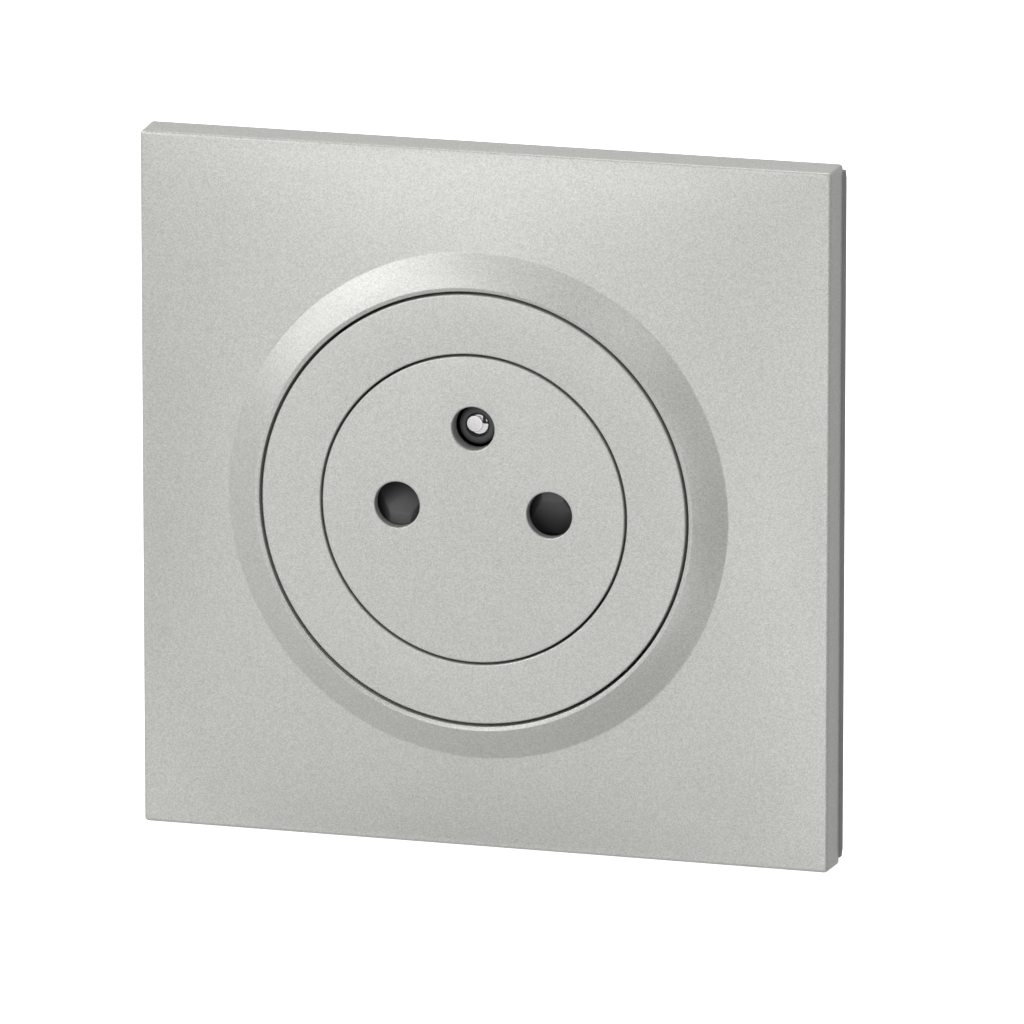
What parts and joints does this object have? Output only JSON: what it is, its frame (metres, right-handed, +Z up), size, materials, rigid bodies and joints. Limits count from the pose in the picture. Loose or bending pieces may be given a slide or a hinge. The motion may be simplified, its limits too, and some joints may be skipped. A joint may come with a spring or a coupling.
{
  "type": "flush wall socket outlet",
  "caption": "Square wall socket with a raised bevelled ring and a flush, sprung centre disc that retracts with the plug, with a safety shutter and an earth pin.",
  "frame": {"origin": "centre of the plate on the wall plane, where the yoke's rear face and the backing frame's rear face lie", "axes": "+Z up, +X to the right of someone facing the plate, +Y into the wall; the face looks along -Y"},
  "size_m": [0.0868, 0.0428, 0.0864],
  "materials": {
    "satin_aluminium_paint": "fine metallic lacquer, satin",
    "dark_frame": "fine moulded matt",
    "charcoal_plastic": "moulded, slightly glossy",
    "housing_plastic": "moulded matt",
    "button_plastic": "moulded satin",
    "zinc_steel": "bright zinc",
    "spring_steel": "drawn spring steel",
    "contact_brass": "rolled strip",
    "nickel_pin": "nickel plate, turned"
  },
  "bodies": {
    "base": {"cover_plate": "satin_aluminium_paint", "face_ring": "satin_aluminium_paint", "backing_frame": "dark_frame", "mounting_yoke": "zinc_steel", "plunger_spring": "spring_steel", "mechanism_housing": "housing_plastic", "rear_cover": "housing_plastic", "housing_screws": "zinc_steel", "live_contact": "contact_brass", "neutral_contact": "contact_brass", "earth_strap": "contact_brass", "earth_pin": "nickel_pin", "live_clamp_spring": "spring_steel", "neutral_clamp_spring": "spring_steel", "earth_clamp_spring": "spring_steel"},
    "plunger": {"plunger_cap": "satin_aluminium_paint", "plunger_carrier": "charcoal_plastic"},
    "shutter": {"shutter": "charcoal_plastic", "shutter_spring": "spring_steel"},
    "live_button": {"live_release_button": "button_plastic"},
    "neutral_button": {"neutral_release_button": "button_plastic"},
    "earth_button": {"earth_release_button": "button_plastic"}
  },
  "joints": [
    {"name": "plunger_slide", "type": "slide", "parent": "base", "child": "plunger", "axis": [0, 1, 0], "range_m": [0, 0.015], "stiffness_N_per_m": 400, "springref_m": -0.012, "deforming": ["plunger_spring"]},
    {"name": "shutter_turn", "type": "hinge", "parent": "plunger", "child": "shutter", "pos_m": [0, -0.0065, 0], "axis": [0, -1, 0], "range_deg": [0, 35], "stiffness_Nm_per_rad": 0.01, "springref_deg": -28.65},
    {"name": "live_release_press", "type": "slide", "parent": "base", "child": "live_button", "axis": [0, -1, 0], "range_m": [0, 0.0018], "stiffness_N_per_m": 1500, "springref_m": -0.0005, "deforming": ["live_clamp_spring"]},
    {"name": "neutral_release_press", "type": "slide", "parent": "base", "child": "neutral_button", "axis": [0, -1, 0], "range_m": [0, 0.0018], "stiffness_N_per_m": 1500, "springref_m": -0.0005, "deforming": ["neutral_clamp_spring"]},
    {"name": "earth_release_press", "type": "slide", "parent": "base", "child": "earth_button", "axis": [0, -1, 0], "range_m": [0, 0.0018], "stiffness_N_per_m": 1500, "springref_m": -0.0005, "deforming": ["earth_clamp_spring"]}
  ]
}
